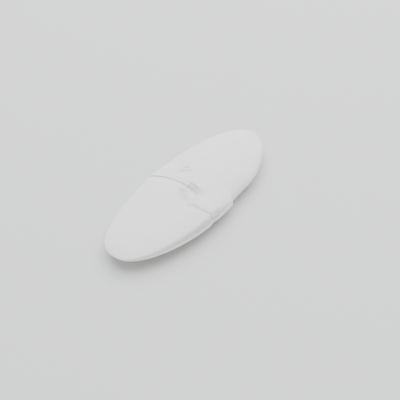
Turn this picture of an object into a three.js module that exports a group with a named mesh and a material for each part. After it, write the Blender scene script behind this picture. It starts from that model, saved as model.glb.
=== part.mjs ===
// A cuttlebone: the inner shell of a cuttlefish, lying on its convex back with its chalky side up.
// Units are millimetres. +Y points to the front end, +X to the right-hand margin and +Z up.
// The origin is on the surface under the bone, below the middle of its length and width.

import * as THREE from "three";
import { mergeVertices } from "three/addons/utils/BufferGeometryUtils.js";

// Length of the bone, width of its even outline, and how far the crown stands above the margin
const LENGTH = 125;
const WIDTH = 52.5;
const CROWN_RISE = 9.4;

// Outline from above: two superellipse ends that meet where the bone is widest.
// "along" shapes the approach to the widest place, and "across" the roundness of the tip.
const WIDEST_Y = -10;
const FRONT_OUTLINE = { along: 2.9, across: 1.7 };
const REAR_OUTLINE = { along: 1.6, across: 2.4 };

// The middle line is slightly bowed: both tips lie this far to the left of it
const TIP_DRIFT = 2.4;

// The left margin bulges a little, and the right one is worn back ahead of a small nick
const LEFT_BULGE = { depth: 1.5, y: 10, halfLength: 25 };
const RIGHT_WORN = { depth: 2.0, from: 7.5, full: 9.5, fades: 14, ends: 36 };
const RIGHT_NICK = { depth: 0.7, y: -9.5, halfLength: 1.8 };

// Side view: the margin's height at mid-length, and how far the tips curve up
const MARGIN_Z = 7.5;
const FRONT_TIP_LIFT = 0.5;
const REAR_TIP_LIFT = 1.5;
const MARGIN_THICKNESS = 0.8;
const MARGIN_ROUNDING = { along: 40, across: 2 };

// Chalky side: how the crown falls to the two tips, and the section across it
const CROWN_Y = 3;
const FRONT_CROWN = { along: 2.0, across: 1.1 };
const REAR_CROWN = { along: 2.0, across: 1.25 };
const DOME_SECTION = { along: 2.3, across: 1.2 };

// Steep flank of the rear half, inside the thin free margin of the shield
const FLANK = { share: 0.36, foot: 0.965, steepness: 60, fadeFrom: -12, fadeTo: 14 };

// Back of the bone: a shallow bowl with a low middle rib between two faint furrows
const BACK_ALONG = { along: 2.4, across: 1.3 };
const BACK_SECTION = { along: 2.1, across: 1.15 };
const RIB = { height: 0.3, halfWidth: 0.2 };
const FURROW = { depth: 0.25, at: 0.42, halfWidth: 0.13 };
const REST_FLAT_DEPTH = 0.3;

// Growth line: the rear edge of the last chamber, a step that crosses the chalky side.
// The left lobe is a shallow arc. The right lobe is straight and lies further back, and the
// step is soft where the line jumps from one lobe to the other.
const LEFT_LOBE_CREST = { x: 6, y: -3.6 };
const LEFT_LOBE_CURVE = 0.005;
const RIGHT_LOBE_START = { x: 11, y: -12.5 };
const RIGHT_LOBE_SLOPE = 0.26;
const LOBE_JUMP = { from: 8.4, to: 13.6, softness: 4 };
const LINE_Y = -6;
const STEP_HEIGHT = 0.5;
const STEP_LENGTH = 0.3;

// Share of the way in from the margin over which the relief of the chalky side grows
const RELIEF_FADE = 0.06;

// Hollow in the middle, behind the left lobe, that runs back as a faint furrow
const HOLLOW = { x: 7.5, y: -4.8, halfWidth: 5, ahead: 2.7, behind: 6, depth: 1.2 };
const SULCUS = { x: 5, halfWidth: 7, depth: 0.4, end: -46 };

// Small smooth dent on the last chamber, and a chip in the right margin at the growth line
const DENT = { x: -9, y: 5.5, halfWidth: 6, halfLength: 3.5, depth: 0.25 };
const CHIP = { u: 0.95, y: -6, halfWidth: 0.04, halfLength: 2.6, depth: 1.8 };

// Mesh: points around the section, rows ahead of the growth line and behind it, and how far
// from that line the rows still bend with it
const AROUND = 80;
const ROWS_FRONT = 30;
const ROWS_REAR = 30;
const BEND_REACH = 30;

const HALF = LENGTH / 2;

const clamp01 = (value) => Math.min(1, Math.max(0, value));
const bell = (distance, halfWidth) => Math.exp(-((distance / halfWidth) ** 2));
const rounded = (reach, form) => (1 - clamp01(reach) ** form.along) ** (1 / form.across);

// How far y lies from a middle place towards the tip on its side, 0 to 1
function reachFrom(middle, y) {
  const span = y > middle ? HALF - middle : HALF + middle;
  return Math.abs(y - middle) / span;
}

function growthLineY(x) {
  const left = LEFT_LOBE_CREST.y - LEFT_LOBE_CURVE * (x - LEFT_LOBE_CREST.x) ** 2;
  const right = RIGHT_LOBE_START.y + RIGHT_LOBE_SLOPE * (x - RIGHT_LOBE_START.x);
  const jump = THREE.MathUtils.smoothstep(x, LOBE_JUMP.from, LOBE_JUMP.to);
  return THREE.MathUtils.lerp(left, right, jump);
}

// How far the margin departs from the even outline, outwards, on the side that u points to
function marginShift(y, u) {
  if (u < 0) return LEFT_BULGE.depth * bell(y - LEFT_BULGE.y, LEFT_BULGE.halfLength);
  const onset = THREE.MathUtils.smoothstep(y, RIGHT_WORN.from, RIGHT_WORN.full);
  const fade = 1 - THREE.MathUtils.smoothstep(y, RIGHT_WORN.fades, RIGHT_WORN.ends);
  const nick = RIGHT_NICK.depth * bell(y - RIGHT_NICK.y, RIGHT_NICK.halfLength);
  return -RIGHT_WORN.depth * onset * fade - nick;
}

// x at the share u of the half width, from -1 at the left margin to 1 at the right one
function acrossX(y, u) {
  const outline = y > WIDEST_Y ? FRONT_OUTLINE : REAR_OUTLINE;
  const even = rounded(reachFrom(WIDEST_Y, y), outline);
  const halfWidth = (WIDTH / 2) * even + marginShift(y, u) * u * u * even;
  return u * halfWidth - TIP_DRIFT * (y / HALF) ** 2;
}

function marginZ(y) {
  const lift = y > 0 ? FRONT_TIP_LIFT : REAR_TIP_LIFT;
  return MARGIN_Z + lift * (y / HALF) ** 2;
}

// The margin is blunt, and closes to a rounded edge all the way round
function marginHalfThickness(y, u) {
  const across = rounded(Math.abs(u), MARGIN_ROUNDING);
  const along = rounded(Math.abs(y) / HALF, MARGIN_ROUNDING);
  return (MARGIN_THICKNESS / 2) * across * along;
}

// Section of the chalky side, 1 at the crown and 0 at the margin
function chalkSection(y, u) {
  const fade = THREE.MathUtils.smoothstep(y, FLANK.fadeFrom, FLANK.fadeTo);
  const share = FLANK.share * (1 - fade);
  const flank = Math.sqrt(1 - clamp01(Math.abs(u) / FLANK.foot) ** FLANK.steepness);
  return (1 - share) * rounded(Math.abs(u), DOME_SECTION) + share * flank;
}

// Relief on the chalky side, added to its smooth form
function chalkRelief(x, y, u) {
  const fromSides = clamp01((1 - Math.abs(u)) / RELIEF_FADE);
  const fromTips = clamp01((1 - Math.abs(y) / HALF) / RELIEF_FADE);
  const pastLine = y - growthLineY(x);
  const fromJump = x - (LOBE_JUMP.from + LOBE_JUMP.to) / 2;
  const softness = LOBE_JUMP.softness * bell(fromJump, LOBE_JUMP.to - LOBE_JUMP.from);
  const stepLength = STEP_LENGTH + softness;
  const step = STEP_HEIGHT * THREE.MathUtils.smoothstep(pastLine, -stepLength, stepLength);
  const hollowReach = y > HOLLOW.y ? HOLLOW.ahead : HOLLOW.behind;
  const hollow = HOLLOW.depth * bell(x - HOLLOW.x, HOLLOW.halfWidth) * bell(y - HOLLOW.y, hollowReach);
  const alongSulcus = THREE.MathUtils.smoothstep(y, SULCUS.end, HOLLOW.y)
    * (1 - THREE.MathUtils.smoothstep(pastLine, -1, 1));
  const sulcus = SULCUS.depth * bell(x - SULCUS.x, SULCUS.halfWidth) * alongSulcus;
  const dent = DENT.depth * bell(x - DENT.x, DENT.halfWidth) * bell(y - DENT.y, DENT.halfLength);
  const chip = CHIP.depth * bell(u - CHIP.u, CHIP.halfWidth) * bell(y - CHIP.y, CHIP.halfLength);
  return fromSides * fromTips * (step - hollow - sulcus - dent - chip);
}

function chalkZ(x, y, u) {
  const crown = y > CROWN_Y ? FRONT_CROWN : REAR_CROWN;
  const rise = CROWN_RISE * rounded(reachFrom(CROWN_Y, y), crown) * chalkSection(y, u);
  return marginZ(y) + marginHalfThickness(y, u) + rise + chalkRelief(x, y, u);
}

// The lowest part of the back is worn flat, where the bone rests
function backZ(y, u) {
  const fullDepth = MARGIN_Z - MARGIN_THICKNESS / 2 - RIB.height + REST_FLAT_DEPTH;
  const bowl = fullDepth * rounded(Math.abs(u), BACK_SECTION);
  const rib = RIB.height * bell(u, RIB.halfWidth);
  const furrow = FURROW.depth * bell(Math.abs(u) - FURROW.at, FURROW.halfWidth);
  const depth = rounded(Math.abs(y) / HALF, BACK_ALONG) * (bowl + rib - furrow);
  return Math.max(0, marginZ(y) - marginHalfThickness(y, u) - depth);
}

// Rows across the bone lie close together at the tips and at the growth line
function rowY(row) {
  const front = row <= ROWS_FRONT;
  const share = front ? 1 - row / ROWS_FRONT : (row - ROWS_FRONT) / ROWS_REAR;
  const eased = (1 - Math.cos(Math.PI * share)) / 2;
  const tip = front ? HALF : -HALF;
  return LINE_Y + (tip - LINE_Y) * eased;
}

// The rows bend with the growth line and straighten out ahead of it and behind it
function bentRowY(row, u) {
  const y = rowY(row);
  const bend = (1 - clamp01(Math.abs(y - LINE_Y) / BEND_REACH) ** 2) ** 2;
  return y + bend * (growthLineY((u * WIDTH) / 2) - LINE_Y);
}

function cuttleboneGeometry() {
  const rows = ROWS_FRONT + ROWS_REAR;
  const geometry = new THREE.SphereGeometry(1, AROUND, rows);
  const position = geometry.attributes.position;
  for (let index = 0; index < position.count; index += 1) {
    const row = Math.floor(index / (AROUND + 1));
    const angle = ((index % (AROUND + 1)) / AROUND) * 2 * Math.PI;
    const u = -Math.cos(angle);
    const y = bentRowY(row, u);
    const x = acrossX(y, u);
    const z = Math.sin(angle) > 0 ? chalkZ(x, y, u) : backZ(y, u);
    position.setXYZ(index, x, y, z);
  }
  geometry.deleteAttribute("normal");
  geometry.deleteAttribute("uv");
  geometry.computeBoundingBox();
  const { min, max } = geometry.boundingBox;
  geometry.translate(-(min.x + max.x) / 2, 0, 0);
  return mergeVertices(geometry, 1e-3);
}

const chalk = new THREE.MeshStandardMaterial({ color: 0xeceae6, roughness: 0.9, metalness: 0 });
const cuttlebone = new THREE.Mesh(cuttleboneGeometry(), chalk);
cuttlebone.name = "cuttlebone";

const group = new THREE.Group();
group.add(cuttlebone);

export default group;
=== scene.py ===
# A dried cuttlebone, lying on its convex back with its chalky side up, and the stage that it is
# shown on. Shapes are worked out in millimetres. +Y points to the front end, +X to the
# right-hand margin and +Z up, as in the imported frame.
import math

import bmesh
import bpy
from mathutils import Matrix, Vector, noise
from mathutils.geometry import intersect_point_line


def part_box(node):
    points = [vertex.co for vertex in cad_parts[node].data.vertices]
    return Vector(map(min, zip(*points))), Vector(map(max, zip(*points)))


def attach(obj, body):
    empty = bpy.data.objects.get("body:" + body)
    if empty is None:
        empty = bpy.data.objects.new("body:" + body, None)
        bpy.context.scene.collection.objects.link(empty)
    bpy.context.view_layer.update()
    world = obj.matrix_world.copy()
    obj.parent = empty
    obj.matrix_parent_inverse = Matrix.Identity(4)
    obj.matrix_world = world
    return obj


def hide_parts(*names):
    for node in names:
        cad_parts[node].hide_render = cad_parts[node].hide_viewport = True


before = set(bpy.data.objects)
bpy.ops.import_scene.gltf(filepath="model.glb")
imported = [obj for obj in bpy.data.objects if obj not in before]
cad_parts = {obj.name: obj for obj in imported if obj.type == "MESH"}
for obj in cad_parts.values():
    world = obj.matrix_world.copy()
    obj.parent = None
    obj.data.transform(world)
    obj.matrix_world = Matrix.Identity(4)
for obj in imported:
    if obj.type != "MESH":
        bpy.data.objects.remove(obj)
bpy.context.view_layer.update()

bl_info = {
    "name": "Cuttlebone",
    "version": (1, 0, 0),
    "blender": (4, 5, 0),
    "location": "View3D > Sidebar > Cuttlebone",
    "description": "Makes a dried cuttlebone and the plain stage that it is shown on",
    "category": "Add Mesh",
}

BONE_NODE = "cuttlebone"

MM = 0.001
LOWEST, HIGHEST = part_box(BONE_NODE)
LENGTH = (HIGHEST[1] - LOWEST[1]) / MM
HALF = LENGTH / 2
MIDDLE_X = (HIGHEST[0] + LOWEST[0]) / 2 / MM

# Outline from above: two superellipse ends that meet where the bone is widest.
# The first exponent shapes the approach to the widest place, the second the roundness of the tip.
WIDEST_Y = -10
FRONT_OUTLINE = (2.9, 1.7)
REAR_OUTLINE = (1.6, 2.4)
TIP_DRIFT = 2.4

# The left margin bulges a little, and the right one is worn back ahead of a small nick
LEFT_BULGE_DEPTH = 1.5
LEFT_BULGE_Y = 10
LEFT_BULGE_HALF_LENGTH = 25
WORN_DEPTH = 2.0
WORN_ONSET = (7.5, 9.5)
WORN_FADE = (14, 36)
NICK_DEPTH = 0.7
NICK_Y = -9.5
NICK_HALF_LENGTH = 1.8

# The blunt free margin, and how far it curves up to the tips
FRONT_TIP_LIFT = 0.5
REAR_TIP_LIFT = 1.5
MARGIN_ROUNDING = (40, 2)

# Chalky side: how the crown falls to the tips, the section across it, and the steep rear flank
CROWN_Y = 3
FRONT_CROWN = (2.0, 1.1)
REAR_CROWN = (2.0, 1.25)
DOME_SECTION = (2.3, 1.2)
FLANK_SHARE = 0.36
FLANK_FOOT = 0.965
FLANK_STEEPNESS = 60
FLANK_FADE = (-12, 14)
FLANK_STARTS = (0.88, 0.93)
FLANK_ENDS = (FLANK_FOOT, 0.985)

# Back: a shallow bowl with a low middle rib between two faint furrows, worn flat where it rests
BACK_ALONG = (2.4, 1.3)
BACK_SECTION = (2.1, 1.15)
RIB_HALF_WIDTH = 0.2
FURROW_DEPTH = 0.25
FURROW_AT = 0.42
FURROW_HALF_WIDTH = 0.13
REST_FLAT_DEPTH = 0.3

# Growth line, the rear edge of the last chamber: an arc on the left, a straight lobe on the right
LEFT_LOBE_CREST = (6, -3.6)
LEFT_LOBE_CURVE = 0.005
RIGHT_LOBE_START = (11, -12.5)
RIGHT_LOBE_SLOPE = 0.26
LOBE_JUMP = (8.4, 13.6)
JUMP_SOFTNESS = 4
LINE_Y = -6
STEP_LENGTH = 0.3

# Share of the way in from the margin and the tips over which the relief of both sides grows
RELIEF_FADE = 0.06

# Hollow behind the left lobe, the faint furrow that runs back from it, a dent, a chip and the
# crumbly edge ahead of the chip
HOLLOW_PLACE = (7.5, -4.8)
HOLLOW_HALF_WIDTH = 5
HOLLOW_AHEAD = 2.7
HOLLOW_BEHIND = 6
SULCUS_X = 5
SULCUS_HALF_WIDTH = 7
SULCUS_DEPTH = 0.4
SULCUS_END = -46
SULCUS_FADES = (-1, 1)
DENT_PLACE = (-9, 5.5)
DENT_HALF_SIZE = (6, 3.5)
DENT_DEPTH = 0.25
CHIP_SHARE = 0.95
CHIP_SHARE_HALF = 0.04
CHIP_Y = -6
CHIP_HALF_LENGTH = 2.6
CHIP_DEPTH = 1.8
WORN_EDGE_SHARE = 0.97
WORN_EDGE_Y = 2
WORN_EDGE_HALF_LENGTH = 6

# Painted shade, with some dust, in the growth line. Each pair of places on x is where the line
# narrows, ends or starts, and each pair of half widths or strengths gives them away from the margin
# and at it.
LEFT_LINE_NARROWS = (-20, -8)
LEFT_LINE_HALF_WIDTH = (0.9, 0.5)
LEFT_LINE_STRENGTH = (0.35, 1.0)
LEFT_LINE_ENDS = (5, 9)
RIGHT_LINE_STARTS = (8.5, 10.5)
RIGHT_LINE_NARROWS = (14, 20)
RIGHT_LINE_HALF_WIDTH = (0.8, 0.5)
RIGHT_LINE_STRENGTH = (1.0, 0.45)

# Painted shade along a faint edge that runs ahead of the left lobe, and the painted shade on the
# chip, worn margin and flank
EDGE_AHEAD = 2.6
EDGE_HALF_WIDTH = 0.6
EDGE_STARTS = (-14, -10)
EDGE_ENDS = (-1, 2)
EDGE_STRENGTH = 0.5
CHIP_SHADE_SHARE = 0.97
WORN_EDGE_STRENGTH = 0.3
PAINTED_FLANK_SHADE_STARTS = (-42, -28)

# Strokes of painted shade, each from one place to another with its half width and strength: the
# shade on the rim of the hollow, then two short strokes of shade by the dent on the last chamber
PAINTED_SHADE_STROKES = (
    ((2.5, -3.2), (2.5, -1.2), 1.0, 1.0),
    ((2.4, -1.2), (7.4, -1.1), 0.9, 1.2),
    ((7.4, -1.1), (12.6, -1.3), 0.8, 0.5),
    ((2.2, -3.3), (5.6, -3.1), 0.7, 0.6),
    ((-0.2, -0.3), (1.5, -1.3), 0.8, 0.55),
    ((-10.8, 3.0), (-5.0, 6.9), 0.9, 0.9),
    ((-10.1, 6.6), (-8.4, 8.1), 0.9, 0.9),
)

# Patches of painted shade, each with its half size and strength: in the hollow, behind it, and
# round the dent's strokes
PAINTED_SHADE_PATCHES = (
    ((5.0, -2.2), (3.4, 1.4), 0.6),
    ((9.3, -3.4), (2.8, 2.3), 0.55),
    ((1.4, -7.7), (3.2, 2.2), 0.7),
    ((5.3, -10.3), (4.0, 3.0), 0.7),
    ((10.5, -8.3), (2.8, 2.6), 0.35),
    ((-8.6, 5.2), (4.2, 2.6), 0.4),
    ((-14.5, 1.0), (3.6, 2.2), 0.25),
)

# Darkness of the painted shade on the crumbly edges, the flank, the strokes and the patches, each
# where its grain is lightest and where it is darkest
CRUMBLY_DARKNESS = (0.15, 1.0)
FLANK_DARKNESS = (0.1, 0.5)
STROKE_DARKNESS = (0.8, 1.0)
PATCH_DARKNESS = (0.6, 1.0)

# Fine relief, as rows of depth, width of the bumps and seed of the noise
WEAR = ((0.12, 7, 29), (0.05, 1.7, 41))
CRUMBS = ((0.4, 1.1, 53), (0.2, 0.6, 59))
GRANULE_SEED = 61

# Noise about a level, as level, swing, width of the bumps and seed: how the striae wander and how
# deep they are, the swells of the back, how its growth lines wander, and three grains of the
# painted shade and dust
STRIA_WANDER = (0.0, 0.35, 14, 3)
STRIA_STRENGTH = (0.6, 0.4, 9, 17)
BACK_SWELL = (0.0, 0.05, 8, 73)
BACK_LINE_WANDER = (0.0, 0.4, 11, 83)
UNEVEN_SHADE_AND_DUST = (0.75, 0.25, 2.2, 97)
MOTTLED_SHADE_AND_DUST = (0.5, 1.6, 1.3, 101)
SPECKLED_SHADE_AND_DUST = (0.5, 2.5, 0.8, 107)

# Distances behind the growth line between which the striae and the layers' edges set in
STRIAE_SET_IN = (0.4, 3)
LAYERS_SET_IN = (0, 3)

# Growth lines on the back: their spacing, their height, and how far they bend to the margins
BACK_LINE_PITCH = 3.4
BACK_LINE_HEIGHT = 0.04
BACK_LINE_BEND = 16

# Relief that only the material gives: layer edges behind the growth line and on the flank, which
# wander by up to so many radians, powder and pin-holes
BEHIND_LAYER_PITCH = 0.5
BEHIND_LAYER_RELIEF = 0.012 * MM
FLANK_LAYER_PITCH = 0.7 * MM
FLANK_LAYER_RELIEF = 0.035 * MM
LAYER_WANDER = 16.0
POWDER_WIDTH = 0.4 * MM
POWDER_RELIEF = 0.09 * MM
PIN_HOLE_SPACING = 3 * MM
PIN_HOLE_DEPTH = 0.12 * MM
CLOUD_WIDTH = 12 * MM

# Stage, in metres: a wide floor, a large soft light above the bone, a little ahead of it and to
# its left, and an even sky
FLOOR_HALF_SIDE = 3.0
KEY_PLACE = Vector((-0.2, 0.5, 1.2))
KEY_SIDE = 1.8
SKY_COLOUR = "#F4F5F6"

# Sockets of the Mix node when it mixes colours
MIX_FIRST = 6
MIX_SECOND = 7
MIX_RESULT = 2

# Mesh: points around the section, rows ahead of the growth line and behind it, and how far
# from that line the rows still bend with it
AROUND = 280
ROWS_FRONT = 100
ROWS_REAR = 240
BEND_REACH = 30


def clamp01(value):
    return min(1.0, max(0.0, value))


def smoothstep(value, low, high):
    share = clamp01((value - low) / (high - low))
    return share * share * (3 - 2 * share)


def bell(distance, half_width):
    return math.exp(-((distance / half_width) ** 2))


def between(pair, share):
    """The value at a share of the way from the first of a pair to the second."""
    return pair[0] + (pair[1] - pair[0]) * share


def rounded(reach, form):
    """1 at a reach of 0, falling to 0 at a reach of 1 as a superellipse does."""
    along, across = form
    return (1 - clamp01(reach) ** along) ** (1 / across)


def reach_from(middle, y):
    """How far y lies from a middle place towards the tip on its side, 0 to 1."""
    span = HALF - middle if y > middle else HALF + middle
    return abs(y - middle) / span


def left_lobe_y(x):
    return LEFT_LOBE_CREST[1] - LEFT_LOBE_CURVE * (x - LEFT_LOBE_CREST[0]) ** 2


def right_lobe_y(x):
    return RIGHT_LOBE_START[1] + RIGHT_LOBE_SLOPE * (x - RIGHT_LOBE_START[0])


def growth_line_y(x):
    left = left_lobe_y(x)
    return left + (right_lobe_y(x) - left) * smoothstep(x, *LOBE_JUMP)


def margin_shift(y, u):
    """How far the margin departs from the even outline, outwards, on the side u points to."""
    if u < 0:
        return LEFT_BULGE_DEPTH * bell(y - LEFT_BULGE_Y, LEFT_BULGE_HALF_LENGTH)
    worn = WORN_DEPTH * smoothstep(y, *WORN_ONSET) * (1 - smoothstep(y, *WORN_FADE))
    return -worn - NICK_DEPTH * bell(y - NICK_Y, NICK_HALF_LENGTH)


def across_x(shape, y, u):
    """x at the share u of the half width, -1 at the left margin and 1 at the right one."""
    outline = FRONT_OUTLINE if y > WIDEST_Y else REAR_OUTLINE
    even = rounded(reach_from(WIDEST_Y, y), outline)
    half_width = (shape.width / MM / 2 + margin_shift(y, u) * u * u) * even
    return u * half_width - TIP_DRIFT * (y / HALF) ** 2


def margin_z(shape, y):
    lift = FRONT_TIP_LIFT if y > 0 else REAR_TIP_LIFT
    return shape.margin_height / MM + lift * (y / HALF) ** 2


def margin_half_thickness(shape, y, u):
    closing = rounded(abs(u), MARGIN_ROUNDING) * rounded(abs(y) / HALF, MARGIN_ROUNDING)
    return shape.margin_thickness / MM / 2 * closing


def chalk_section(y, u):
    """Section of the chalky side, 1 at the crown and 0 at the margin."""
    share = FLANK_SHARE * (1 - smoothstep(y, *FLANK_FADE))
    flank = math.sqrt(1 - clamp01(abs(u) / FLANK_FOOT) ** FLANK_STEEPNESS)
    return (1 - share) * rounded(abs(u), DOME_SECTION) + share * flank


def flank_share(y, u):
    """1 on the steep flank of the rear half, where the edges of the chalk's layers come out."""
    from_face = smoothstep(abs(u), *FLANK_STARTS)
    from_margin = 1 - smoothstep(abs(u), *FLANK_ENDS)
    return from_face * from_margin * (1 - smoothstep(y, *FLANK_FADE))


def chip_share(y, u):
    return bell(u - CHIP_SHARE, CHIP_SHARE_HALF) * bell(y - CHIP_Y, CHIP_HALF_LENGTH)


def worn_share(y, u):
    """1 on the crumbly edge of the right-hand margin, from the chip to where the wear begins."""
    return bell(u - WORN_EDGE_SHARE, CHIP_SHARE_HALF) * bell(y - WORN_EDGE_Y, WORN_EDGE_HALF_LENGTH)


def inside_share(y, u):
    """0 at the margin and the tips, 1 from a little way in."""
    from_sides = clamp01((1 - abs(u)) / RELIEF_FADE)
    from_tips = clamp01((1 - abs(y) / HALF) / RELIEF_FADE)
    return from_sides * from_tips


def step_softness(x):
    from_jump = x - sum(LOBE_JUMP) / 2
    return STEP_LENGTH + JUMP_SOFTNESS * bell(from_jump, LOBE_JUMP[1] - LOBE_JUMP[0])


def chalk_relief(shape, x, y, u):
    """The growth line's step, the hollow, furrow, dent and chip, added to the smooth form."""
    past_line = y - growth_line_y(x)
    softness = step_softness(x)
    step = shape.step_height / MM * smoothstep(past_line, -softness, softness)
    hollow_reach = HOLLOW_AHEAD if y > HOLLOW_PLACE[1] else HOLLOW_BEHIND
    hollow = bell(x - HOLLOW_PLACE[0], HOLLOW_HALF_WIDTH) * bell(y - HOLLOW_PLACE[1], hollow_reach)
    behind = 1 - smoothstep(past_line, *SULCUS_FADES)
    along_sulcus = smoothstep(y, SULCUS_END, HOLLOW_PLACE[1]) * behind
    sulcus = SULCUS_DEPTH * bell(x - SULCUS_X, SULCUS_HALF_WIDTH) * along_sulcus
    dent = bell(x - DENT_PLACE[0], DENT_HALF_SIZE[0]) * bell(y - DENT_PLACE[1], DENT_HALF_SIZE[1])
    chip = CHIP_DEPTH * chip_share(y, u)
    return step - shape.hollow_depth / MM * hollow - sulcus - DENT_DEPTH * dent - chip


def grain(place, size, seed):
    """Smooth noise from -1 to 1 whose bumps are about size millimetres wide."""
    return noise.noise(place / size + Vector((seed, 0, 0)))


def rough(place, rows):
    return sum(depth * abs(grain(place, width, seed)) for depth, width, seed in rows)


def varied(place, form):
    level, swing, width, seed = form
    return level + swing * grain(place, width, seed)


def chalk_texture(surface, place, behind_line, y, u):
    """Fine relief of the chalky side: growth striae behind the line, wear, and crumbly edges."""
    behind = smoothstep(behind_line, *STRIAE_SET_IN)
    pitch = surface.stria_pitch / MM
    wander = varied(place, STRIA_WANDER)
    stria = 0.5 - 0.5 * math.cos(2 * math.pi * (behind_line / pitch + wander))
    strength = varied(place, STRIA_STRENGTH)
    striae = surface.stria_depth / MM * behind * stria * strength * (1 - flank_share(y, u))
    crumbly = max(chip_share(y, u), worn_share(y, u))
    return -striae - rough(place, WEAR) - crumbly * rough(place, CRUMBS)


def shield_texture(surface, place, y, u):
    """Fine relief of the back: grains, low swells, and growth lines bent towards the front."""
    size = surface.granule_size / MM
    grains = surface.granule_height / MM * max(0.0, grain(place, size, GRANULE_SEED))
    bent = y + BACK_LINE_BEND * u * u
    phase = bent / BACK_LINE_PITCH + varied(place, BACK_LINE_WANDER)
    growth_lines = BACK_LINE_HEIGHT * math.cos(2 * math.pi * phase)
    return grains + varied(place, BACK_SWELL) + growth_lines


def chalk_z(shape, surface, x, y, u, behind_line):
    crown = FRONT_CROWN if y > CROWN_Y else REAR_CROWN
    rise = shape.crown_rise / MM * rounded(reach_from(CROWN_Y, y), crown) * chalk_section(y, u)
    smooth = margin_z(shape, y) + margin_half_thickness(shape, y, u) + rise
    relief = chalk_relief(shape, x, y, u)
    relief += chalk_texture(surface, Vector((x, y, smooth)), behind_line, y, u)
    return smooth + inside_share(y, u) * relief


def back_z(shape, surface, x, y, u):
    rib_height = shape.rib_height / MM
    margin_depth = (shape.margin_height - shape.margin_thickness / 2) / MM
    full_depth = margin_depth - rib_height + REST_FLAT_DEPTH
    bowl = full_depth * rounded(abs(u), BACK_SECTION)
    rib = rib_height * bell(u, RIB_HALF_WIDTH)
    furrow = FURROW_DEPTH * bell(abs(u) - FURROW_AT, FURROW_HALF_WIDTH)
    depth = rounded(abs(y) / HALF, BACK_ALONG) * (bowl + rib - furrow)
    smooth = margin_z(shape, y) - margin_half_thickness(shape, y, u) - depth
    relief = shield_texture(surface, Vector((x, y, smooth)), y, u)
    return max(0.0, smooth - inside_share(y, u) * relief)


def row_y(row):
    """Rows lie close together at the tips and at the growth line."""
    front = row <= ROWS_FRONT
    share = 1 - row / ROWS_FRONT if front else (row - ROWS_FRONT) / ROWS_REAR
    eased = (1 - math.cos(math.pi * share)) / 2
    tip = HALF if front else -HALF
    return LINE_Y + (tip - LINE_Y) * eased


def bent_row_y(shape, y, u):
    """Rows bend with the growth line and straighten out ahead of it and behind it."""
    bend = (1 - clamp01(abs(y - LINE_Y) / BEND_REACH) ** 2) ** 2
    return y + bend * (growth_line_y(u * shape.width / MM / 2) - LINE_Y)


def from_stroke(x, y, start, end):
    """Distance from a place to a straight stroke."""
    nearest, along = intersect_point_line(Vector((x, y)), Vector(start), Vector(end))
    nearest = Vector(start) if along < 0 else Vector(end) if along > 1 else nearest
    return math.hypot(x - nearest[0], y - nearest[1])


def darkest_painted_shade_stroke(x, y):
    shares = []
    for start, end, half_width, strength in PAINTED_SHADE_STROKES:
        shares.append(strength * bell(from_stroke(x, y, start, end), half_width))
    return max(shares)


def strongest_painted_shade_patch(x, y):
    shares = []
    for place, half_size, strength in PAINTED_SHADE_PATCHES:
        across = bell(x - place[0], half_size[0])
        shares.append(strength * across * bell(y - place[1], half_size[1]))
    return max(shares)


def painted_shade_and_dust_share(place, u):
    """How much painted shade darkens the chalk, from 0 to 1, with some dust in the growth line."""
    x, y = place.xy
    uneven = varied(place, UNEVEN_SHADE_AND_DUST)
    mottled = clamp01(varied(place, MOTTLED_SHADE_AND_DUST))
    speckled = clamp01(varied(place, SPECKLED_SHADE_AND_DUST))

    # Painted shade, with some dust, along the two lobes of the growth line
    to_left = 1 - smoothstep(x, *LEFT_LINE_NARROWS)
    left_line = bell(y - left_lobe_y(x), between(LEFT_LINE_HALF_WIDTH, to_left))
    left_line *= between(LEFT_LINE_STRENGTH, to_left) * (1 - smoothstep(x, *LEFT_LINE_ENDS))
    to_right = smoothstep(x, *RIGHT_LINE_NARROWS)
    right_line = bell(y - right_lobe_y(x), between(RIGHT_LINE_HALF_WIDTH, to_right))
    right_line *= between(RIGHT_LINE_STRENGTH, to_right) * smoothstep(x, *RIGHT_LINE_STARTS)
    # Painted shade along the faint edge ahead of the left lobe
    edge = EDGE_STRENGTH * bell(y - left_lobe_y(x) - EDGE_AHEAD, EDGE_HALF_WIDTH)
    edge *= smoothstep(x, *EDGE_STARTS) * (1 - smoothstep(x, *EDGE_ENDS))

    # Painted shade in the chip and along the crumbly edge of the right-hand margin
    chip = bell(u - CHIP_SHADE_SHARE, CHIP_SHARE_HALF) * bell(y - CHIP_Y, CHIP_HALF_LENGTH)
    crumbly = max(chip, WORN_EDGE_STRENGTH * worn_share(y, u))
    crumbly *= between(CRUMBLY_DARKNESS, speckled)
    # Painted shade on the steep rear flank, which turns away from the light
    flank = flank_share(y, u) * smoothstep(y, *PAINTED_FLANK_SHADE_STARTS)
    flank *= between(FLANK_DARKNESS, speckled)
    lines = max(left_line, right_line, edge) * uneven
    # Painted shade on the rim of the hollow and by the dent, and patches of painted shade round
    # them
    strokes = darkest_painted_shade_stroke(x, y) * between(STROKE_DARKNESS, mottled)
    patches = strongest_painted_shade_patch(x, y) * between(PATCH_DARKNESS, mottled)
    return clamp01(max(lines, strokes, patches, crumbly, flank))


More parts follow.
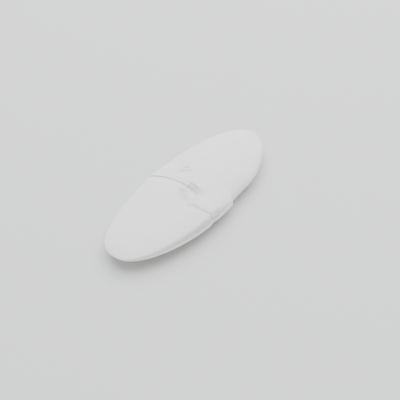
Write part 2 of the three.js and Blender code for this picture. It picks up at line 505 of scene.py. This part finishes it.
def shape_bone(mesh_points, layers, shape, surface):
    """Moves the points of a ball, whose poles lie fore and aft, to the surface of the bone."""
    rows = ROWS_FRONT + ROWS_REAR
    for point in mesh_points:
        ball = point.co.copy()
        row = round(math.acos(max(-1.0, min(1.0, ball.y))) / math.pi * rows)
        angle = math.atan2(ball.z, -ball.x)
        u = -math.cos(angle)
        even_y = row_y(row)
        y = bent_row_y(shape, even_y, u)
        x = across_x(shape, y, u)
        behind_line = LINE_Y - even_y
        top = ball.z > 0
        if top:
            z = chalk_z(shape, surface, x, y, u, behind_line)
        else:
            z = back_z(shape, surface, x, y, u)
        place = Vector((x, y, z))
        on_flank = flank_share(y, u)
        striated = smoothstep(behind_line, *LAYERS_SET_IN) * (1 - on_flank)
        point.co = place * MM
        point[layers["behind_line"]] = behind_line
        point[layers["striated"]] = striated if top else 0.0
        # The painted shade, with some dust, is kept per point and darkens the colour in the
        # material
        point[layers["shade_and_dust"]] = painted_shade_and_dust_share(place, u) if top else 0.0
        point[layers["flank"]] = on_flank if top else 0.0
        point[layers["shield"]] = 0.0 if top else 1.0


def linear(hex_colour):
    """An sRGB hex colour as linear red, green and blue."""
    channels = []
    for start in (1, 3, 5):
        value = int(hex_colour[start:start + 2], 16) / 255
        channels.append(value / 12.92 if value <= 0.04045 else ((value + 0.055) / 1.055) ** 2.4)
    return channels


def add_node(owner, kind, inputs=(), links=(), **settings):
    """Adds a node with its settings, its sockets' values and its links to earlier nodes.

    inputs holds (socket, value) pairs, and links holds (socket, source node, output) triples.
    """
    tree = owner.node_tree
    node = tree.nodes.new(kind)
    for name, value in settings.items():
        setattr(node, name, value)
    for socket, value in inputs:
        node.inputs[socket].default_value = value
    for socket, source, output in links:
        tree.links.new(source.outputs[output], node.inputs[socket])
    return node


class CuttleboneShape(bpy.types.PropertyGroup):
    """Sizes of the bone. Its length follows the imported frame."""

    width: bpy.props.FloatProperty(
        name="Width",
        description="Width of the even outline, before its margins bulge or wear",
        default=0.0525,
        min=0.02,
        unit="LENGTH",
        subtype="DISTANCE",
    )
    crown_rise: bpy.props.FloatProperty(
        name="Crown rise",
        description="How far the chalky crown stands above the margin",
        default=0.0094,
        min=0.0,
        unit="LENGTH",
        subtype="DISTANCE",
    )
    margin_height: bpy.props.FloatProperty(
        name="Margin height",
        description="Height of the free margin above the ground at mid-length",
        default=0.0075,
        min=0.001,
        unit="LENGTH",
        subtype="DISTANCE",
    )
    margin_thickness: bpy.props.FloatProperty(
        name="Margin thickness",
        description="Thickness of the free margin",
        default=0.0008,
        min=0.0001,
        unit="LENGTH",
        subtype="DISTANCE",
    )
    step_height: bpy.props.FloatProperty(
        name="Step height",
        description="Height of the step at the rear edge of the last chamber",
        default=0.0005,
        min=0.0,
        unit="LENGTH",
        subtype="DISTANCE",
    )
    hollow_depth: bpy.props.FloatProperty(
        name="Hollow depth",
        description="Depth of the hollow behind the left lobe of the growth line",
        default=0.0012,
        min=0.0,
        unit="LENGTH",
        subtype="DISTANCE",
    )
    rib_height: bpy.props.FloatProperty(
        name="Rib height",
        description="Height of the low rib along the middle of the back",
        default=0.0003,
        min=0.0,
        unit="LENGTH",
        subtype="DISTANCE",
    )


class CuttleboneSurface(bpy.types.PropertyGroup):
    """Sizes of the fine relief and the colours of the bone."""

    stria_pitch: bpy.props.FloatProperty(
        name="Stria pitch",
        description="Distance from one growth stria to the next, behind the growth line",
        default=0.0012,
        min=0.0005,
        unit="LENGTH",
        subtype="DISTANCE",
    )
    stria_depth: bpy.props.FloatProperty(
        name="Stria depth",
        description="Depth of a growth stria",
        default=0.00009,
        min=0.0,
        unit="LENGTH",
        subtype="DISTANCE",
    )
    granule_size: bpy.props.FloatProperty(
        name="Granule size",
        description="Width of a grain on the back",
        default=0.0012,
        min=0.0002,
        unit="LENGTH",
        subtype="DISTANCE",
    )
    granule_height: bpy.props.FloatProperty(
        name="Granule height",
        description="Height of a grain on the back",
        default=0.00016,
        min=0.0,
        unit="LENGTH",
        subtype="DISTANCE",
    )
    chalk_colour: bpy.props.FloatVectorProperty(
        name="Chalk",
        description="Colour of the clean chalky side",
        subtype="COLOR",
        size=3,
        min=0.0,
        max=1.0,
        default=linear("#EEEEEE"),
    )
    # Colour of the painted shade, and of the dust in the growth line
    shade_and_dust_colour: bpy.props.FloatVectorProperty(
        name="Painted shade and dust",
        description="Colour of the chalk where shade is painted and some dust has settled",
        subtype="COLOR",
        size=3,
        min=0.0,
        max=1.0,
        default=linear("#BEBEBD"),
    )
    shield_colour: bpy.props.FloatVectorProperty(
        name="Shield",
        description="Colour of the hard back",
        subtype="COLOR",
        size=3,
        min=0.0,
        max=1.0,
        default=linear("#E8E4DB"),
    )


class CuttleboneStage(bpy.types.PropertyGroup):
    """The camera, the light and the floor."""

    azimuth: bpy.props.FloatProperty(
        name="Azimuth",
        description="Direction of the camera, from behind the rear tip round to the bone's right",
        default=math.radians(46.12),
        subtype="ANGLE",
    )
    elevation: bpy.props.FloatProperty(
        name="Elevation",
        description="Angle of the camera above the floor",
        default=math.radians(47.82),
        subtype="ANGLE",
    )
    roll: bpy.props.FloatProperty(
        name="Roll",
        description="Turn of the camera about its own axis",
        default=math.radians(-6.54),
        subtype="ANGLE",
    )
    distance: bpy.props.FloatProperty(
        name="Distance",
        description="Distance from the camera to the place it points at",
        default=0.3912,
        min=0.05,
        unit="LENGTH",
        subtype="DISTANCE",
    )
    target: bpy.props.FloatVectorProperty(
        name="Target",
        description="Place that the camera points at",
        size=3,
        default=(0.0098, -0.0023, 0.009),
        subtype="TRANSLATION",
    )
    lens: bpy.props.FloatProperty(
        name="Lens",
        description="Focal length of the camera, in millimetres, on a sensor 36 mm wide",
        default=60.67,
        min=10.0,
    )
    key_power: bpy.props.FloatProperty(
        name="Key light",
        description="Power of the large soft light above the bone, in watts",
        default=46.0,
        min=0.0,
    )
    sky_strength: bpy.props.FloatProperty(
        name="Sky",
        description="Strength of the even light from all round",
        default=0.9,
        min=0.0,
    )
    floor_colour: bpy.props.FloatVectorProperty(
        name="Floor",
        description="Colour of the floor",
        subtype="COLOR",
        size=3,
        min=0.0,
        max=1.0,
        default=linear("#D6D7D8"),
    )


def opaque(colour):
    return (*colour, 1.0)


def aragonite_material(surface):
    """Aragonite grown in thin layers and dried, the mineral that a cuttlebone is made of.

    The chalky side is dead matt and nearly white, and lets a little light in. Shade is painted into
    its colour along the growth line, which also holds some dust, and at the hollow, the dent, the
    chip, the crumbly edge and the rear flank. The back is harder, warmer in colour and very
    slightly satin.
    """
    material = bpy.data.materials.new("Aragonite, grown in layers and dried")
    material.use_nodes = True
    material.node_tree.nodes.clear()
    place = add_node(material, "ShaderNodeTexCoord")
    # Painted shade, with some dust, as a share per point
    shade_and_dust = add_node(material, "ShaderNodeAttribute", attribute_name="shade_and_dust")
    shield = add_node(material, "ShaderNodeAttribute", attribute_name="shield")
    behind_line = add_node(material, "ShaderNodeAttribute", attribute_name="behind_line")
    striated = add_node(material, "ShaderNodeAttribute", attribute_name="striated")

    # Clouds, where the surface is a little duller
    clouds = add_node(
        material,
        "ShaderNodeTexNoise",
        inputs=[("Scale", 1 / CLOUD_WIDTH), ("Detail", 3.0), ("Roughness", 0.55)],
        links=[("Vector", place, "Object")],
    )
    cloud_share = add_node(
        material,
        "ShaderNodeMapRange",
        inputs=[("From Min", 0.5), ("From Max", 0.85), ("To Max", 0.16)],
        links=[("Value", clouds, "Fac")],
    )
    # The darker of the painted shade with dust and the random clouds
    dulled = add_node(
        material,
        "ShaderNodeMath",
        operation="MAXIMUM",
        links=[(0, shade_and_dust, "Fac"), (1, cloud_share, "Result")],
    )
    chalk = add_node(
        material,
        "ShaderNodeMix",
        data_type="RGBA",
        inputs=[
            (MIX_FIRST, opaque(surface.chalk_colour)),
            (MIX_SECOND, opaque(surface.shade_and_dust_colour)),
        ],
        links=[("Factor", dulled, "Value")],
    )
    colour = add_node(
        material,
        "ShaderNodeMix",
        data_type="RGBA",
        inputs=[(MIX_SECOND, opaque(surface.shield_colour))],
        links=[("Factor", shield, "Fac"), (MIX_FIRST, chalk, MIX_RESULT)],
    )
    roughness = add_node(
        material,
        "ShaderNodeMapRange",
        inputs=[("To Min", 0.92), ("To Max", 0.6)],
        links=[("Value", shield, "Fac")],
    )

    # Edges of the chalk's thin layers, which lie one behind the other behind the growth line and
    # one above the other on the flank
    flank = add_node(material, "ShaderNodeAttribute", attribute_name="flank")
    height = add_node(material, "ShaderNodeSeparateXYZ", links=[("Vector", place, "Object")])
    wander = add_node(
        material,
        "ShaderNodeMath",
        operation="MULTIPLY",
        inputs=[(1, LAYER_WANDER)],
        links=[(0, clouds, "Fac")],
    )
    behind_wave = add_node(
        material,
        "ShaderNodeMath",
        operation="MULTIPLY_ADD",
        inputs=[(1, 2 * math.pi / BEHIND_LAYER_PITCH)],
        links=[(0, behind_line, "Fac"), (2, wander, "Value")],
    )
    flank_wave = add_node(
        material,
        "ShaderNodeMath",
        operation="MULTIPLY_ADD",
        inputs=[(1, 2 * math.pi / FLANK_LAYER_PITCH)],
        links=[(0, height, "Z"), (2, wander, "Value")],
    )
    behind_edges = add_node(
        material,
        "ShaderNodeMath",
        operation="SINE",
        links=[(0, behind_wave, "Value")],
    )
    flank_edges = add_node(
        material,
        "ShaderNodeMath",
        operation="SINE",
        links=[(0, flank_wave, "Value")],
    )
    behind_shown = add_node(
        material,
        "ShaderNodeMath",
        operation="MULTIPLY",
        inputs=[(1, BEHIND_LAYER_RELIEF)],
        links=[(0, striated, "Fac")],
    )
    flank_shown = add_node(
        material,
        "ShaderNodeMath",
        operation="MULTIPLY",
        inputs=[(1, FLANK_LAYER_RELIEF)],
        links=[(0, flank, "Fac")],
    )
    behind_relief = add_node(
        material,
        "ShaderNodeMath",
        operation="MULTIPLY",
        links=[(0, behind_edges, "Value"), (1, behind_shown, "Value")],
    )
    layer_relief = add_node(
        material,
        "ShaderNodeMath",
        operation="MULTIPLY_ADD",
        links=[(0, flank_edges, "Value"), (1, flank_shown, "Value"), (2, behind_relief, "Value")],
    )

    # Powdery grain, drawn coarser than the real powder so that it shows, and pin-holes
    powder = add_node(
        material,
        "ShaderNodeTexNoise",
        inputs=[("Scale", 1 / POWDER_WIDTH), ("Detail", 2.0)],
        links=[("Vector", place, "Object")],
    )
    powder_relief = add_node(
        material,
        "ShaderNodeMath",
        operation="MULTIPLY_ADD",
        inputs=[(1, POWDER_RELIEF)],
        links=[(0, powder, "Fac"), (2, layer_relief, "Value")],
    )
    cells = add_node(
        material,
        "ShaderNodeTexVoronoi",
        inputs=[("Scale", 1 / PIN_HOLE_SPACING), ("Randomness", 1.0)],
        links=[("Vector", place, "Object")],
    )
    pin_holes = add_node(
        material,
        "ShaderNodeMapRange",
        inputs=[("From Max", 0.09), ("To Min", -PIN_HOLE_DEPTH), ("To Max", 0.0)],
        links=[("Value", cells, "Distance")],
    )
    fine_relief = add_node(
        material,
        "ShaderNodeMath",
        operation="ADD",
        links=[(0, powder_relief, "Value"), (1, pin_holes, "Result")],
    )
    bump = add_node(
        material,
        "ShaderNodeBump",
        inputs=[("Strength", 1.0), ("Distance", 1.0)],
        links=[("Height", fine_relief, "Value")],
    )
    chalky = add_node(
        material,
        "ShaderNodeBsdfPrincipled",
        inputs=[
            ("IOR", 1.53),
            ("Specular IOR Level", 0.3),
            ("Subsurface Weight", 0.12),
            ("Subsurface Radius", (1.0, 0.9, 0.8)),
            ("Subsurface Scale", 0.6 * MM),
        ],
        links=[
            ("Base Color", colour, MIX_RESULT),
            ("Roughness", roughness, "Result"),
            ("Normal", bump, "Normal"),
        ],
    )
    add_node(material, "ShaderNodeOutputMaterial", links=[("Surface", chalky, "BSDF")])
    return material


def paper_material(stage):
    """Matt white paper, rolled smooth: an even pale ground without gloss."""
    material = bpy.data.materials.new("Paper, rolled matt")
    material.use_nodes = True
    material.node_tree.nodes.clear()
    paper = add_node(
        material,
        "ShaderNodeBsdfPrincipled",
        inputs=[("Base Color", opaque(stage.floor_colour)), ("Roughness", 0.9)],
    )
    add_node(material, "ShaderNodeOutputMaterial", links=[("Surface", paper, "BSDF")])
    return material


def add_mesh_object(name, mesh_builder):
    """A new object, unturned at the origin, that takes the finished bmesh."""
    mesh = bpy.data.meshes.new(name)
    mesh_builder.to_mesh(mesh)
    mesh_builder.free()
    added = bpy.data.objects.new(name, mesh)
    bpy.context.scene.collection.objects.link(added)
    return added


def add_area_light(name, place, side, power):
    """A square soft light that faces the bone."""
    light = bpy.data.lights.new(name, "AREA")
    light.shape = "SQUARE"
    light.size = side
    light.energy = power
    lamp = bpy.data.objects.new(name, light)
    lamp.location = place
    lamp.rotation_euler = (-place).to_track_quat("-Z", "Y").to_euler()
    bpy.context.scene.collection.objects.link(lamp)


class CUTTLEBONE_OT_bone(bpy.types.Operator):
    """Make the whole cuttlebone as one closed piece"""

    bl_idname = "cuttlebone.bone"
    bl_label = "Bone"

    def execute(self, context):
        shape = context.scene.cuttlebone_shape
        surface = context.scene.cuttlebone_surface
        builder = bmesh.new()
        names = ("behind_line", "striated", "shade_and_dust", "flank", "shield")
        layers = {name: builder.verts.layers.float.new(name) for name in names}
        bmesh.ops.create_uvsphere(
            builder, u_segments=AROUND, v_segments=ROWS_FRONT + ROWS_REAR, radius=1.0
        )
        poles_forward = Matrix.Rotation(math.radians(-90), 3, "X")
        bmesh.ops.rotate(builder, verts=builder.verts, cent=(0, 0, 0), matrix=poles_forward)
        shape_bone(builder.verts, layers, shape, surface)
        across = [point.co.x for point in builder.verts]
        shift = MIDDLE_X * MM - (min(across) + max(across)) / 2
        bmesh.ops.translate(builder, verts=builder.verts, vec=(shift, 0, 0))
        bmesh.ops.recalc_face_normals(builder, faces=builder.faces)
        for face in builder.faces:
            face.smooth = True
        bone = add_mesh_object("bone", builder)
        bone.data.materials.append(aragonite_material(surface))
        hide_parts(BONE_NODE)
        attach(bone, "root")
        return {"FINISHED"}


class CUTTLEBONE_OT_stage(bpy.types.Operator):
    """Set up the floor, the light and the camera"""

    bl_idname = "cuttlebone.stage"
    bl_label = "Stage"

    def execute(self, context):
        stage = context.scene.cuttlebone_stage
        builder = bmesh.new()
        bmesh.ops.create_grid(builder, x_segments=1, y_segments=1, size=FLOOR_HALF_SIDE)
        floor = add_mesh_object("floor", builder)
        floor.data.materials.append(paper_material(stage))

        world = bpy.data.worlds.new("Even studio light")
        context.scene.world = world
        world.use_nodes = True
        background = world.node_tree.nodes["Background"]
        background.inputs["Color"].default_value = opaque(linear(SKY_COLOUR))
        background.inputs["Strength"].default_value = stage.sky_strength
        add_area_light("key light", KEY_PLACE, KEY_SIDE, stage.key_power)

        camera_data = bpy.data.cameras.new("camera")
        camera_data.sensor_width = 36
        camera_data.lens = stage.lens
        camera_data.clip_start = 0.01
        camera = bpy.data.objects.new("camera", camera_data)
        level = math.cos(stage.elevation)
        away = Vector(
            (
                math.sin(stage.azimuth) * level,
                -math.cos(stage.azimuth) * level,
                math.sin(stage.elevation),
            )
        )
        facing = (-away).to_track_quat("-Z", "Y").to_matrix() @ Matrix.Rotation(stage.roll, 3, "Z")
        camera.location = Vector(stage.target) + away * stage.distance
        camera.rotation_euler = facing.to_euler()
        context.scene.collection.objects.link(camera)
        context.scene.camera = camera
        return {"FINISHED"}


class CUTTLEBONE_PT_panel(bpy.types.Panel):
    """Lists the steps that make the bone and its stage"""

    bl_idname = "CUTTLEBONE_PT_panel"
    bl_label = "Cuttlebone"
    bl_space_type = "VIEW_3D"
    bl_region_type = "UI"
    bl_category = "Cuttlebone"

    def draw(self, context):
        for settings in ("cuttlebone_shape", "cuttlebone_surface", "cuttlebone_stage"):
            group = getattr(context.scene, settings)
            for name in group.__annotations__:
                self.layout.prop(group, name)
        self.layout.operator(CUTTLEBONE_OT_bone.bl_idname)
        self.layout.operator(CUTTLEBONE_OT_stage.bl_idname)


CLASSES = (
    CuttleboneShape,
    CuttleboneSurface,
    CuttleboneStage,
    CUTTLEBONE_OT_bone,
    CUTTLEBONE_OT_stage,
    CUTTLEBONE_PT_panel,
)


def register():
    for cls in CLASSES:
        bpy.utils.register_class(cls)
    bpy.types.Scene.cuttlebone_shape = bpy.props.PointerProperty(type=CuttleboneShape)
    bpy.types.Scene.cuttlebone_surface = bpy.props.PointerProperty(type=CuttleboneSurface)
    bpy.types.Scene.cuttlebone_stage = bpy.props.PointerProperty(type=CuttleboneStage)


def unregister():
    del bpy.types.Scene.cuttlebone_stage
    del bpy.types.Scene.cuttlebone_surface
    del bpy.types.Scene.cuttlebone_shape
    for cls in reversed(CLASSES):
        bpy.utils.unregister_class(cls)


def main():
    register()
    bpy.ops.cuttlebone.bone()
    bpy.ops.cuttlebone.stage()


if __name__ == "__main__":
    main()
